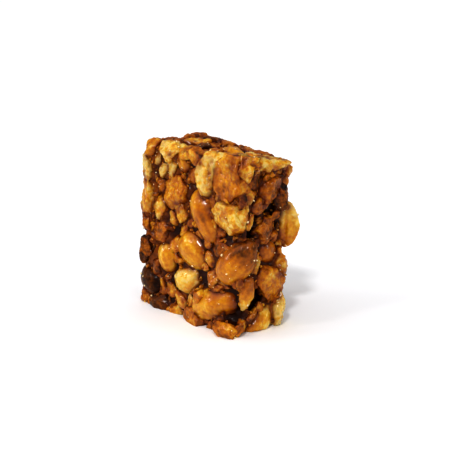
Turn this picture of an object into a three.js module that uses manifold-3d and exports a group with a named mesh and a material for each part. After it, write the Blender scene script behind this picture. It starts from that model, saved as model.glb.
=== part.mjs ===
// Nut cluster: a block of roasted peanuts, whole, split and broken, set in caramel.
// Millimetres, +Z up. The origin is on the base, under the middle of the block.
import * as THREE from 'three';
import { mergeVertices } from 'three/addons/utils/BufferGeometryUtils.js';
import Module from 'manifold-3d';

// Driving dimensions of the block, measured over its nuts
const WIDTH = 39.5;
const DEPTH = 17.5;
const HEIGHT = 46;
const LEAN_X = 2.5; // the top sits this far to the right of the base
const LEAN_Y = 1.5; // and this far back
const SHIFT_X = 0.4; // the block stands this far right of the middle, as its nuts reach further left
const SHIFT_Y = -0.3; // and this far back, or forwards below 0
const BACK_TAPER = 1; // the back is this much narrower on either side
const CORNER_DROP = 3; // the right back corner of the top is worn lower
const CORE_INSET = 2.2; // caramel core below the faces of the block
const TOP_CUT = 0.3; // the top was cut flat, this far above its face
const EDGE_TURN = 4; // nuts this near an edge of the block start to face round it

// Proportions of the pieces, as shares of their width
const KERNEL_THICKNESS = 0.92;
const HALF_THICKNESS = 0.5;
const CHUNK_THICKNESS = 0.8;
const CHIP_THICKNESS = 0.6;
const SPLIT_BULGE = 0.08; // a split face isn't quite flat
const KERNEL_TAPER = 0.14; // a kernel narrows towards its tip
const PRESSED_TILT = [0.9, 1]; // a chunk has one broad face turned outwards, as the block was pressed
const PRESSED_DISTANCE = [0.5, 0.66]; // from its middle, where 1 is its outside before it broke
const BREAKS = 7; // and broken faces all round
const BREAK_TILT = [-0.7, 0.55];
const BREAK_DISTANCE = [0.56, 0.9];
const BREAK_GROW = 1.12; // the ball it is broken from is larger than the chunk by this much
const GRAZING = 0.001; // a break that faces further away than this takes nothing off
const CHUNK_REACH = 0.24; // from its middle to its pressed face
const CHIP_REACH = 0.18;
const SIDE_REACH = 0.42; // from the middle of any piece to its side
const EDGE_REACH = 0.5; // and of a half on its edge to its upper rim

const CARAMEL_COLOUR = 0xb4691e;
const SEED = 36;
const SEED_SPREAD = 2654435761; // sets the draws of neighbouring seeds far apart
const CAST_STEP = 1000;
const WELD_DISTANCE = 1e-4;
const MERGE_DISTANCE = 0.12; // points closer than this are merged

// Pieces that show on the front, the right side and the top:
// kind, face, across, up, length, width, turn in degrees from across, proud of the face,
// and for a broken one the cast of its breaks
const SHOWN = [
  ['kernel', 'front', 36, 19.3, 15, 8.8, 50, 1.2],
  ['kernel', 'front', 24.5, 29, 15, 8, -62, 1.4],
  ['kernel', 'front', 20, 19, 12.4, 10.4, -32, 1],
  ['kernel', 'front', 10, 15, 9.2, 7, -76, 0.8],
  ['half', 'front', 18.6, 10.8, 9.8, 8.6, 40, 1],
  ['half', 'front', 28.4, 6.4, 17.6, 9.6, 22, 1],
  ['chip', 'front', 25, 7.5, 5.6, 4, 60, 0.8],
  ['chunk', 'front', 34, 40.5, 13.4, 12.8, -60, 0.8, 19],
  ['chunk', 'front', 25.5, 40, 11, 8, -104, 0.6, 45],
  ['chunk', 'front', 33.5, 31.4, 10.4, 9.8, -20, 1, 29],
  ['chunk', 'front', 10, 46, 8.2, 6, -25, 0.8, 2],
  ['chip', 'front', 11.5, 40.5, 7.4, 3.8, -98, 0],
  ['kernel', 'front', 14.5, 42, 7, 4.8, -68, 0],
  ['chunk', 'front', 20.5, 43.5, 6.6, 5.6, -10, 0.4],
  ['chunk', 'front', 13, 33.5, 12, 8.6, 15, 0.4, 18],
  ['chunk', 'front', 7.5, 28, 7.2, 5.8, -60, 0.4, 9],
  ['chunk', 'front', 16.5, 28.5, 6.4, 5.2, -74, 0.2, 44],
  ['chunk', 'front', 1, 31, 10.8, 6.4, -86, 1.2],
  ['chunk', 'front', 0.5, 39, 7.6, 6, -88, 1.2],
  ['chip', 'front', 5, 41.5, 5.2, 3.8, 40, 0],
  ['chip', 'front', 8, 38.5, 5.2, 3.4, 50, 0],
  ['chunk', 'front', 8, 22, 8.8, 6.6, 12, 0.2, 12],
  ['chunk', 'front', 1, 16, 9.2, 7.8, -30, 1.6, 5],
  ['kernel', 'front', 1.5, 7, 10.4, 9, -16, 1.2],
  ['half', 'front', 8, 0.3, 12, 8.6, -26, 0.4],
  ['chip', 'front', 17.5, 4.5, 6.6, 3.4, -30, 0],
  ['chunk', 'front', 23, 0.5, 8.8, 6.8, -8, 0.4],
  ['chunk', 'front', 36, 0.5, 8.6, 6.6, -24, 0.8, 27],
  ['chunk', 'front', 2.5, 45.5, 7, 6, -70, 0.6],
  ['chunk', 'right', 10, 45, 12.4, 6, -8, 0.4, 2],
  ['chunk', 'right', 10.5, 39, 9.6, 7.6, 44, 0.2, 57],
  ['chunk', 'right', 7, 34, 5.6, 5, 18, -0.4],
  ['chunk', 'right', 10, 28, 8.8, 6, 56, -0.6],
  ['edge', 'right', 17.4, 28.3, 12.8, 6.8, 100, 3.6],
  ['kernel', 'right', 12.5, 20.5, 9.4, 7, -38, -0.4],
  ['chunk', 'right', 13, 12.5, 12, 9.4, -50, 0.6, 47],
  ['chunk', 'right', 17, 17, 6.6, 5.4, -84, 1.4],
  ['chunk', 'right', 17, 37, 8, 6.4, -86, 0.4],
  ['half', 'right', 4.2, 11.5, 10, 4.6, -96, 0.8],
  ['half', 'right', 11, 1.8, 12.4, 7, 38, 0.8],
  ['chunk', 'right', 17, 4, 9.8, 6.2, -86, 1.8, 44],
  ['half', 'top', 24, 10, 12.4, 7, -14, -0.4],
  ['chunk', 'top', 33.5, 8, 8.8, 6.2, -16, -0.4],
  ['chunk', 'top', 9, 10, 8.8, 7, 24, -0.4],
  ['chunk', 'front', 1, 24.5, 7.6, 6, -80, 0.8],
];

// The rest is strewn over the faces by a rule, the largest pieces first: how high up a face they go, ranges
// of length, of width as a share of length and of how far a piece stands out, throws on each 1000 square
// millimetres, and how close it may come to another piece, where 1 is side by side
const SIDES = ['back', 'left'];
const SIDES_AND_TOP = ['back', 'left', 'top'];
const ALL_FACES = ['front', 'right', 'back', 'left', 'top'];
const STREWN = [
  {
    kind: 'kernel', on: SIDES, rise: 0.84, length: [11, 13.5], slim: [0.64, 0.74], proud: [-0.2, 0.8],
    throws: 12, gap: 0.86,
  },
  {
    kind: 'half', on: SIDES, rise: 0.84, length: [10, 13], slim: [0.62, 0.74], proud: [0, 0.6],
    throws: 20, gap: 0.84,
  },
  {
    kind: 'open', on: SIDES, rise: 0.9, length: [9, 12], slim: [0.62, 0.74], proud: [-0.2, 0.3],
    throws: 20, gap: 0.84,
  },
  {
    kind: 'chunk', on: SIDES_AND_TOP, rise: 1, length: [7, 10.5], slim: [0.7, 0.9], proud: [-0.6, 0.4],
    throws: 120, gap: 0.76,
  },
  {
    kind: 'bit', on: ALL_FACES, rise: 1, length: [5, 7.5], slim: [0.7, 0.9], proud: [-1.4, -0.2],
    throws: 260, gap: 0.74,
  },
];
const SQUARE = 1000;
const EDGE_STRAY = 30; // pieces at an edge lie along it, give or take this angle
const TIP = 12; // others lie any way round, and tip out of their face by up to this angle

// Hollows round the right side that stay clear of strewn pieces: face, across, up and radius
const HOLLOWS = [
  ['front', 36.5, 9, 2.5],
  ['front', 37, 4.5, 3],
  ['front', 39, 12, 1],
  ['right', 3, 5.5, 2.5],
  ['right', 8.5, 9, 2],
  ['right', 8, 31, 3.5],
  ['right', 1.5, 26.5, 2.5],
];

// A corner of the block: side -1 is left and 1 right, rear -1 is front and 1 back, level 0 is base and 1 top
function cornerAt(side, rear, level) {
  const taper = rear > 0 ? BACK_TAPER : 0;
  const drop = side > 0 && rear > 0 ? CORNER_DROP * level : 0;
  const lean = level - 0.5;
  return new THREE.Vector3(
    side * (WIDTH / 2 - taper) + lean * LEAN_X + SHIFT_X,
    (rear * DEPTH) / 2 + lean * LEAN_Y + SHIFT_Y,
    level * HEIGHT - drop,
  );
}

// A face as seen from outside: its corners from lower left anticlockwise, its size, the way that it
// faces, and the faces that it meets at its sides
function faceOf(corners, width, height, meets) {
  const [a, b, c, d] = corners.map((place) => cornerAt(...place));
  const across = new THREE.Vector3().subVectors(b, a).normalize();
  const up = new THREE.Vector3().subVectors(d, a);
  const out = new THREE.Vector3().crossVectors(across, up).normalize();
  return { a, b, c, d, width, height, across, out, meets };
}

const faces = {
  front: faceOf([[-1, -1, 0], [1, -1, 0], [1, -1, 1], [-1, -1, 1]], WIDTH, HEIGHT, {
    left: 'left',
    right: 'right',
    upper: 'top',
  }),
  right: faceOf([[1, -1, 0], [1, 1, 0], [1, 1, 1], [1, -1, 1]], DEPTH, HEIGHT, {
    left: 'front',
    right: 'back',
    upper: 'top',
  }),
  back: faceOf([[1, 1, 0], [-1, 1, 0], [-1, 1, 1], [1, 1, 1]], WIDTH, HEIGHT, {
    left: 'right',
    right: 'left',
    upper: 'top',
  }),
  left: faceOf([[-1, 1, 0], [-1, -1, 0], [-1, -1, 1], [-1, 1, 1]], DEPTH, HEIGHT, {
    left: 'back',
    right: 'front',
    upper: 'top',
  }),
  top: faceOf([[-1, -1, 1], [1, -1, 1], [1, 1, 1], [-1, 1, 1]], WIDTH, DEPTH, {
    left: 'left',
    right: 'right',
    upper: 'back',
    lower: 'front',
  }),
};

// A point on a face, in millimetres across and up from its lower left corner
function spotOn({ a, b, c, d, width, height }, across, up) {
  const lower = new THREE.Vector3().lerpVectors(a, b, across / width);
  const upper = new THREE.Vector3().lerpVectors(d, c, across / width);
  return lower.lerp(upper, up / height);
}

// The way a nut faces there: square to the face, and turned outwards near the block's edges
function outwardAt({ width, height, out, meets }, across, up) {
  const distances = { left: across, right: width - across, upper: height - up, lower: up };
  const turned = out.clone();
  for (const [side, name] of Object.entries(meets)) {
    turned.addScaledVector(faces[name].out, Math.max(0, 1 - distances[side] / EDGE_TURN));
  }
  return turned.normalize();
}

// Moves a middle inwards until it lies this deep below a face
function sink(centre, { a, out }, depth) {
  const short = depth - new THREE.Vector3().subVectors(a, centre).dot(out);
  if (short > 0) centre.addScaledVector(out, -short);
}

// Seeded numbers from 0 to 1, by a linear congruential rule on 32 bits
function drawsFrom(seed) {
  const [factor, step, range] = [1664525, 1013904223, 2 ** 32];
  let state = seed >>> 0;
  return () => {
    state = (Math.imul(state, factor) + step) >>> 0;
    return state / range;
  };
}

const between = (draw, [low, high]) => low + (high - low) * draw();

// Evenly drawn shares, set closer towards the two ends
const towardsEnds = (share) => (1 - Math.cos(Math.PI * share)) / 2;

function thrownPiece(draw, name, { kind, rise, length: lengths, slim, proud }) {
  const { width: faceWidth, height: faceHeight } = faces[name];
  const across = towardsEnds(draw()) * faceWidth;
  const up = towardsEnds(draw()) * faceHeight * rise;
  const length = between(draw, lengths);
  const width = length * between(draw, slim);
  const stray = between(draw, [-1, 1]);
  const tip = between(draw, [-TIP, TIP]);
  const besideEdge = Math.min(across, faceWidth - across) < EDGE_TURN;
  const underEdge = faceHeight - up < EDGE_TURN;
  const piece = { kind, name, across, up, length, width, turn: 90 * stray, tip, proud: between(draw, proud) };
  if (besideEdge || underEdge) {
    piece.turn = (besideEdge ? 90 : 0) + EDGE_STRAY * stray;
    piece.tip = 0;
  }
  return placed(piece);
}

// Whether a piece lies clear of another, which is measured as an ellipsoid grown by the piece's radius
function isApart(piece, other, gap) {
  const radius = Math.sqrt(piece.length * piece.width) / 2;
  const offset = new THREE.Vector3().subVectors(piece.spot, other.spot);
  const along = offset.dot(other.along) / (other.length / 2 + radius);
  const beside = offset.dot(other.beside) / (other.width / 2 + radius);
  const out = offset.dot(other.out) / (other.width / 2 + radius);
  return Math.hypot(along, beside, out) > gap;
}

function isInHollow({ spot, length, width }) {
  const radius = Math.sqrt(length * width) / 4;
  return HOLLOWS.some(
    ([name, across, up, size]) => spot.distanceTo(spotOn(faces[name], across, up)) < size + radius,
  );
}

function allPieces() {
  const pieces = SHOWN.map(([kind, name, across, up, length, width, turn, proud, cast = 0]) =>
    placed({ kind, name, across, up, length, width, turn, tip: 0, proud, cast }),
  );
  const draw = drawsFrom(SEED);
  for (const rule of STREWN) {
    for (const name of rule.on) {
      const throws = Math.round((rule.throws * faces[name].width * faces[name].height) / SQUARE);
      for (let i = 0; i < throws; i++) {
        const piece = thrownPiece(draw, name, rule);
        const isClear = pieces.every((other) => isApart(piece, other, rule.gap));
        if (isClear && !isInHollow(piece)) pieces.push({ ...piece, cast: 0 });
      }
    }
  }
  return pieces;
}

// Shapes, each a move of the points of a unit sphere: x runs along the piece and z faces out of the block
function kernelShape({ length, width }) {
  return (p) => {
    const slim = (1 - KERNEL_TAPER * p.x) * width;
    p.set((p.x * length) / 2, (p.y * slim) / 2, (p.z * slim * KERNEL_THICKNESS) / 2);
  };
}

// One of a kernel's two lobes, its domed side out
function halfShape({ length, width }) {
  return (p) => {
    const slim = (1 - KERNEL_TAPER * p.x) * width;
    const height = p.z * (p.z > 0 ? HALF_THICKNESS : SPLIT_BULGE);
    p.set((p.x * length) / 2, (p.y * slim) / 2, height * slim);
  };
}

// The same with its split side out
function openShape(piece) {
  const move = halfShape(piece);
  return (p) => {
    move(p);
    p.set(p.x, -p.y, -p.z);
  };
}

// And standing on its edge
function edgeShape(piece) {
  const move = halfShape(piece);
  return (p) => {
    move(p);
    p.set(p.x, -p.z, p.y);
  };
}

// A flat break across a ball: how far it faces outwards, which way round, and its distance
function flatBreak(draw, tilts, distances) {
  const z = between(draw, tilts);
  const angle = between(draw, [0, 2 * Math.PI]);
  const flat = Math.sqrt(1 - z * z);
  const normal = new THREE.Vector3(flat * Math.cos(angle), flat * Math.sin(angle), z);
  return { normal, distance: between(draw, distances) };
}

// A broken piece: a flattened ball that reaches out as far as its breaks let it
function brokenShape({ length, width }, thickness, draw) {
  const breaks = [flatBreak(draw, PRESSED_TILT, PRESSED_DISTANCE)];
  for (let i = 0; i < BREAKS; i++) breaks.push(flatBreak(draw, BREAK_TILT, BREAK_DISTANCE));
  return (p) => {
    const limits = breaks.map(({ normal, distance }) => distance / Math.max(p.dot(normal), GRAZING));
    p.multiplyScalar((Math.min(1, ...limits) * BREAK_GROW) / 2);
    p.set(p.x * length, p.y * width, p.z * width * thickness);
  };
}

// How many sides each kind has, how far it reaches outwards as a share of its width, and its shape
const kinds = {
  kernel: { detail: 1, reach: KERNEL_THICKNESS / 2, shape: kernelShape },
  half: { detail: 1, reach: HALF_THICKNESS, shape: halfShape },
  open: { detail: 1, reach: SPLIT_BULGE, shape: openShape },
  edge: { detail: 1, reach: EDGE_REACH, shape: edgeShape },
  chunk: {
    detail: 1,
    reach: CHUNK_REACH,
    shape: (piece, draw) => brokenShape(piece, CHUNK_THICKNESS, draw),
  },
  bit: {
    detail: 0,
    reach: CHUNK_REACH,
    shape: (piece, draw) => brokenShape(piece, CHUNK_THICKNESS, draw),
  },
  chip: {
    detail: 0,
    reach: CHIP_REACH,
    shape: (piece, draw) => brokenShape(piece, CHIP_THICKNESS, draw),
  },
};

// Where a piece lies: its length runs in the face at its turn, and it is sunk until it is level with the
// faces around it, or stands proud of them
function placed(piece) {
  const { kind, name, across, up, width, turn, tip, proud } = piece;
  const spot = spotOn(faces[name], across, up);
  const turned = outwardAt(faces[name], across, up);
  const side = faces[name].across.clone();
  side.addScaledVector(turned, -side.dot(turned)).normalize();
  const rise = new THREE.Vector3().crossVectors(turned, side);
  const angle = THREE.MathUtils.degToRad(turn);
  const level = side.multiplyScalar(Math.cos(angle)).addScaledVector(rise, Math.sin(angle));
  const lift = THREE.MathUtils.degToRad(tip);
  const along = level.clone().multiplyScalar(Math.cos(lift)).addScaledVector(turned, Math.sin(lift));
  const out = turned.clone().multiplyScalar(Math.cos(lift)).addScaledVector(level, -Math.sin(lift));
  const beside = new THREE.Vector3().crossVectors(out, along);
  const centre = spot.clone();
  sink(centre, faces[name], width * kinds[kind].reach);
  for (const other of Object.values(faces[name].meets)) sink(centre, faces[other], width * SIDE_REACH);
  centre.addScaledVector(turned, proud);
  return { ...piece, spot, along, beside, out, centre };
}

const wasm = await Module();
wasm.setup();

function solidOf(geometry) {
  geometry.deleteAttribute('normal');
  geometry.deleteAttribute('uv');
  const merged = mergeVertices(geometry, WELD_DISTANCE);
  return new wasm.Manifold(
    new wasm.Mesh({
      numProp: 3,
      vertProperties: merged.attributes.position.array,
      triVerts: new Uint32Array(merged.index.array),
    }),
  );
}

function movePoints(geometry, move) {
  const { position } = geometry.attributes;
  const p = new THREE.Vector3();
  for (let i = 0; i < position.count; i++) {
    p.fromBufferAttribute(position, i);
    move(p);
    position.setXYZ(i, p.x, p.y, p.z);
  }
  return geometry;
}

function pieceSolid(piece, index) {
  const { kind, along, beside, out, centre, cast } = piece;
  const sphere = new THREE.IcosahedronGeometry(1, kinds[kind].detail);
  const draw = drawsFrom(Math.imul(index + SEED + cast * CAST_STEP, SEED_SPREAD));
  movePoints(sphere, kinds[kind].shape(piece, draw));
  const place = new THREE.Matrix4().makeBasis(along, beside, out).setPosition(centre);
  return solidOf(sphere.applyMatrix4(place));
}

// The caramel that holds the nuts: the block itself, smaller by the inset on every side but the base
function coreSolid() {
  const box = new THREE.BoxGeometry(2, 2, 2);
  movePoints(box, (p) => {
    const [x, y, z] = [p.x, p.y, p.z].map((place) => (place + 1) / 2);
    const front = spotOn(faces.front, x * faces.front.width, z * HEIGHT);
    const back = spotOn(faces.back, (1 - x) * faces.back.width, z * HEIGHT);
    front.lerp(back, y);
    p.set(front.x - p.x * CORE_INSET, front.y - p.y * CORE_INSET, front.z - z * CORE_INSET);
  });
  return solidOf(box);
}

// Takes off what stands above a plane through three points, raised by the cut
function trimAbove(solid, a, b, c) {
  const up = new THREE.Plane().setFromCoplanarPoints(a, b, c).normal;
  return solid.trimByPlane(up.clone().negate().toArray(), -a.dot(up) - TOP_CUT);
}

// Nuts and caramel as one body, flat where it stands, and at the top on either side of the fold towards its
// worn corner, without loose bits or sealed hollows
function clusterSolid() {
  const solids = allPieces().map(pieceSolid);
  const joined = wasm.Manifold.union([coreSolid(), ...solids]);
  const { a, b, c, d } = faces.top;
  const cut = trimAbove(trimAbove(joined.trimByPlane([0, 0, 1], 0), a, b, d), b, c, d);
  const bodies = cut.simplify(MERGE_DISTANCE).decompose();
  return bodies.reduce((largest, body) => (body.volume() > largest.volume() ? body : largest));
}

function geometryOf(solid) {
  const { vertProperties, triVerts } = solid.getMesh();
  const geometry = new THREE.BufferGeometry();
  geometry.setAttribute('position', new THREE.BufferAttribute(vertProperties, 3));
  geometry.setIndex(new THREE.BufferAttribute(triVerts, 1));
  geometry.computeVertexNormals();
  return geometry;
}

const glazedNuts = new THREE.MeshStandardMaterial({ color: CARAMEL_COLOUR, roughness: 0.35, metalness: 0 });
const nutCluster = new THREE.Mesh(geometryOf(clusterSolid()), glazedNuts);
nutCluster.name = 'nut_cluster';

const part = new THREE.Group();
part.add(nutCluster);

export default part;
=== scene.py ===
# A small block of roasted peanuts set in caramel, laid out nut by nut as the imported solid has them
import math

import bmesh
import bpy
import numpy as np
from mathutils import Euler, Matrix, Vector, noise
from mathutils.bvhtree import BVHTree
from mathutils.kdtree import KDTree


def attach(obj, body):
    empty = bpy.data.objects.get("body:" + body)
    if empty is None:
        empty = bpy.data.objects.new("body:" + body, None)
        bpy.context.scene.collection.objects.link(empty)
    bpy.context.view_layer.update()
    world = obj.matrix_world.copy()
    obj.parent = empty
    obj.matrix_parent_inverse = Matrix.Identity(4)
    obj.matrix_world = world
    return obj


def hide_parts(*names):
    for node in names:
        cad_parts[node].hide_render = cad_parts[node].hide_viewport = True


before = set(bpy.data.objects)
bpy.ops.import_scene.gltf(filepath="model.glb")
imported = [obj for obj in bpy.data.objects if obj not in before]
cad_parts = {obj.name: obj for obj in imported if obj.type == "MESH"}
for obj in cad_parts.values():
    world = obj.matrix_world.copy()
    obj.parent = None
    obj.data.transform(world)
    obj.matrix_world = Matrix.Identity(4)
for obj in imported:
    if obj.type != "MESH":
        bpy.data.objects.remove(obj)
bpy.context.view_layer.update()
mm = 0.001  # layout and shapes are worked out in millimetres, meshes are in metres
rightAngle = 90

# The block that the nuts were pressed into; nuts that stand proud reach past its faces
block = {
    "width": 39.5,
    "depth": 17.5,
    "height": 46.0,
    "leanX": 2.5,  # the top sits this far to the right of the base
    "leanY": 1.5,  # and this far back
    "shiftX": 0.4,
    "shiftY": -0.3,
    "backTaper": 1.0,  # the back is narrower on either side
    "cornerDrop": 3.0,  # the right back corner of the top is worn lower
    "topCut": 0.3,  # the top was cut flat, this far above its face
    "edgeTurn": 4.0,  # nuts this near an edge start to face round it
    "seed": 36,
    "seedSpread": 2654435761,  # keeps the draws of neighbouring nuts unlike
    "castStep": 1000,
}

# Proportions of the pieces, as shares of their width
nutShape = {
    "kernelThickness": 0.92,
    "halfThickness": 0.5,
    "chunkThickness": 0.8,
    "chipThickness": 0.6,
    "splitBulge": 0.08,  # a split face isn't quite flat
    "seamWidth": 0.14,  # and has a seam along its middle
    "seamDepth": 0.07,
    "rimSharpness": 6,  # how soon its pale flesh shows past the rim
    "taper": 0.14,  # a kernel narrows towards its tip
    "veins": (9, 14),  # veins run along it from end to end
    "veinSway": 2,
    "veinRise": 0.02,
    "veinBareness": 0.5,  # a half's coat is thinner on its veins
    "pressedTilt": (0.9, 1.0),  # a chunk has one broad face turned outwards, as it was pressed
    "pressedDistance": (0.5, 0.66),
    "breaks": 7,  # and broken faces all round
    "breakTilt": (-0.7, 0.55),
    "breakDistance": (0.56, 0.9),
    "breakGrow": 1.12,  # the ball it is broken from is larger than the chunk by this much
    "grazing": 0.001,  # a break that faces further away than this takes nothing off
    "chips": 6,  # smaller breaks along its edges, which only show close up
    "chipDistance": (0.7, 0.9),
    "bareness": 0.9,  # the paler a chunk, the more of its breaks are bare
    "bareSeed": 3,
    "sideReach": 0.42,
}

# How far each kind reaches outwards from its middle, as a share of its width
outReach = {"kernel": 0.46, "half": 0.5, "open": 0.08, "edge": 0.5,
            "chunk": 0.24, "bit": 0.24, "chip": 0.18}

# Nuts that show on the front, the right side and the top:
# kind, face, across, up, length, width, turn, proud, tone from 0 cream to 1 nearly black
# or the tones of its two ends, and for a broken one the cast of its breaks
listedNuts = [
    ("kernel", "front", 36, 19.3, 15, 8.8, 50, 1.2, (0.3, 0.62)),
    ("kernel", "front", 24.5, 29, 15, 8, -62, 1.4, (0.28, 0.42)),
    ("kernel", "front", 20, 19, 12.4, 10.4, -32, 1, (0.24, 0.36)),
    ("kernel", "front", 10, 15, 9.2, 7, -76, 0.8, (0.08, 0.42)),
    ("half", "front", 18.6, 10.8, 9.8, 8.6, 40, 1, (0.14, 0.0)),
    ("half", "front", 28.4, 6.4, 17.6, 9.6, 22, 1, (0.14, 0.36)),
    ("chip", "front", 25, 7.5, 5.6, 4, 60, 0.8, 0.4),
    ("chunk", "front", 34, 40.5, 13.4, 12.8, -60, 0.8, (0.38, 0.58), 19),
    ("chunk", "front", 25.5, 40, 11, 8, -104, 0.6, (0.17, 0.13), 45),
    ("chunk", "front", 33.5, 31.4, 10.4, 9.8, -20, 1, (0.32, 0.22), 29),
    ("chunk", "front", 10, 46, 8.2, 6, -25, 0.8, 0.2, 2),
    ("chip", "front", 11.5, 40.5, 7.4, 3.8, -98, 0, 0.2),
    ("kernel", "front", 14.5, 42, 7, 4.8, -68, 0, (0.28, 0.44)),
    ("chunk", "front", 20.5, 43.5, 6.6, 5.6, -10, 0.4, 0.4),
    ("chunk", "front", 13, 33.5, 12, 8.6, 15, 0.4, 0.44, 18),
    ("chunk", "front", 7.5, 28, 7.2, 5.8, -60, 0.4, 0.24, 9),
    ("chunk", "front", 16.5, 28.5, 6.4, 5.2, -74, 0.2, 0.34, 44),
    # these four on the upper left edge are paler partly from pale flesh and partly as painted light,
    # where the edge faces away from the lamps
    ("chunk", "front", 1, 31, 10.8, 6.4, -86, 1.2, 0.22),
    ("chunk", "front", 0.5, 39, 7.6, 6, -88, 1.2, 0.08),
    ("chip", "front", 5, 41.5, 5.2, 3.8, 40, 0, 0.1),
    ("chip", "front", 8, 38.5, 5.2, 3.4, 50, 0, 0.02),
    ("chunk", "front", 8, 22, 8.8, 6.6, 12, 0.2, 0.48, 12),
    # these three at the lower left are dark partly from a deep roast and partly as painted shade, as if
    # a block stood beside them on the left
    ("chunk", "front", 1, 16, 9.2, 7.8, -30, 1.6, 0.72, 5),
    ("kernel", "front", 1.5, 7, 10.4, 9, -16, 1.2, (0.74, 0.88)),
    ("half", "front", 8, 0.3, 12, 8.6, -26, 0.4, 0.76),
    ("chip", "front", 17.5, 4.5, 6.6, 3.4, -30, 0, 0.34),
    ("chunk", "front", 23, 0.5, 8.8, 6.8, -8, 0.4, 0.46),
    ("chunk", "front", 36, 0.5, 8.6, 6.6, -24, 0.8, 0.4, 27),
    ("chunk", "front", 2.5, 45.5, 7, 6, -70, 0.6, 0.42),
    ("chunk", "right", 10, 45, 12.4, 6, -8, 0.4, 0.25, 2),
    ("chunk", "right", 10.5, 39, 9.6, 7.6, 44, 0.2, 0.48, 57),
    ("chunk", "right", 7, 34, 5.6, 5, 18, -0.4, 0.4),
    ("chunk", "right", 10, 28, 8.8, 6, 56, -0.6, 0.52),
    ("edge", "right", 17.4, 28.3, 12.8, 6.8, 100, 3.6, (0.46, 0.1)),
    ("kernel", "right", 12.5, 20.5, 9.4, 7, -38, -0.4, 0.46),
    ("chunk", "right", 13, 12.5, 12, 9.4, -50, 0.6, (0.42, 0.56), 47),
    ("chunk", "right", 17, 17, 6.6, 5.4, -84, 1.4, 0.28),
    ("chunk", "right", 17, 37, 8, 6.4, -86, 0.4, 0.68),
    # its upper end is darker as painted shade under the kernel above it
    ("half", "right", 4.2, 11.5, 10, 4.6, -96, 0.8, (0.66, 0.0)),
    ("half", "right", 11, 1.8, 12.4, 7, 38, 0.8, (0.22, 0.04)),
    ("chunk", "right", 17, 4, 9.8, 6.2, -86, 1.8, 0.04, 44),
    # these on the top are paler partly from their roast and partly as a painted sheen
    ("half", "top", 24, 10, 12.4, 7, -14, -0.4, 0.3),
    ("chunk", "top", 33.5, 8, 8.8, 6.2, -16, -0.4, 0.28),
    ("chunk", "top", 9, 10, 8.8, 7, 24, -0.4, 0.3),
    ("chunk", "front", 1, 24.5, 7.6, 6, -80, 0.8, 0.56),
]

# The rest is strewn over the faces, the largest pieces first: how high up a face they go,
# their length, width as a share of it, how proud, throws on each throwArea,
# how near they come to other nuts (1 is side by side), and tone
strewnNuts = [
    {"kind": "kernel", "faces": ("back", "left"), "rise": 0.84, "length": (11, 13.5),
     "slim": (0.64, 0.74), "proud": (-0.2, 0.8), "throws": 12, "gap": 0.86, "tone": (0.42, 0.7)},
    {"kind": "half", "faces": ("back", "left"), "rise": 0.84, "length": (10, 13),
     "slim": (0.62, 0.74), "proud": (0, 0.6), "throws": 20, "gap": 0.84, "tone": (0.36, 0.6)},
    {"kind": "open", "faces": ("back", "left"), "rise": 0.9, "length": (9, 12),
     "slim": (0.62, 0.74), "proud": (-0.2, 0.3), "throws": 20, "gap": 0.84, "tone": (0.2, 0.36)},
    {"kind": "chunk", "faces": ("back", "left", "top"), "rise": 1, "length": (7, 10.5),
     "slim": (0.7, 0.9), "proud": (-0.6, 0.4), "throws": 120, "gap": 0.76, "tone": (0.26, 0.6)},
    {"kind": "bit", "faces": ("front", "right", "back", "left", "top"), "rise": 1, "length": (5, 7.5),
     "slim": (0.7, 0.9), "proud": (-1.4, -0.2), "throws": 260, "gap": 0.74, "tone": (0.22, 0.62)},
    {"kind": "chip", "faces": ("front", "right", "back", "left", "top"), "rise": 1, "length": (3.6, 5.6),
     "slim": (0.5, 0.7), "proud": (-1.2, -0.3), "throws": 320, "gap": 0.68, "tone": (0.2, 0.56)},
]
throwArea = 1000  # square millimetres
edgeStray = 30  # nuts at an edge lie along it, give or take this angle
tipOut = 12  # others tip out of their face by up to this angle

# Hollows that stay open round the right side: face, across, up and radius
hollows = [
    ("front", 36.5, 9, 2.5),
    ("front", 37, 4.5, 3),
    ("front", 39, 12, 1),
    ("right", 3, 5.5, 2.5),
    ("right", 8.5, 9, 2),
    ("right", 8, 31, 3.5),
    ("right", 1.5, 26.5, 2.5),
]


# A corner of the block: side -1 left to 1 right, rear -1 front to 1 back, level 0 base to 1 top
def cornerAt(side, rear, level):
    taper = block["backTaper"] if rear > 0 else 0
    drop = block["cornerDrop"] * level if side > 0 and rear > 0 else 0
    lean = level - 0.5  # it leans about its mid height
    return np.array((
        side * (block["width"] / 2 - taper) + lean * block["leanX"] + block["shiftX"],
        rear * block["depth"] / 2 + lean * block["leanY"] + block["shiftY"],
        level * block["height"] - drop,
    ))


def unit(vector):
    return vector / np.linalg.norm(vector)


# A face as seen from outside: corners from lower left anticlockwise, and the faces it meets
def faceOf(corners, width, height, meets):
    a, b, c, d = [cornerAt(*corner) for corner in corners]
    across = unit(b - a)
    out = unit(np.cross(across, d - a))
    return {"corners": (a, b, c, d), "width": width, "height": height,
            "across": across, "out": out, "meets": meets}


wide, deep, tall = block["width"], block["depth"], block["height"]
faces = {
    "front": faceOf([(-1, -1, 0), (1, -1, 0), (1, -1, 1), (-1, -1, 1)], wide, tall,
                    {"left": "left", "right": "right", "upper": "top"}),
    "right": faceOf([(1, -1, 0), (1, 1, 0), (1, 1, 1), (1, -1, 1)], deep, tall,
                    {"left": "front", "right": "back", "upper": "top"}),
    "back": faceOf([(1, 1, 0), (-1, 1, 0), (-1, 1, 1), (1, 1, 1)], wide, tall,
                   {"left": "right", "right": "left", "upper": "top"}),
    "left": faceOf([(-1, 1, 0), (-1, -1, 0), (-1, -1, 1), (-1, 1, 1)], deep, tall,
                   {"left": "back", "right": "front", "upper": "top"}),
    "top": faceOf([(-1, -1, 1), (1, -1, 1), (1, 1, 1), (-1, 1, 1)], wide, deep,
                  {"left": "left", "right": "right", "upper": "back", "lower": "front"}),
}


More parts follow.
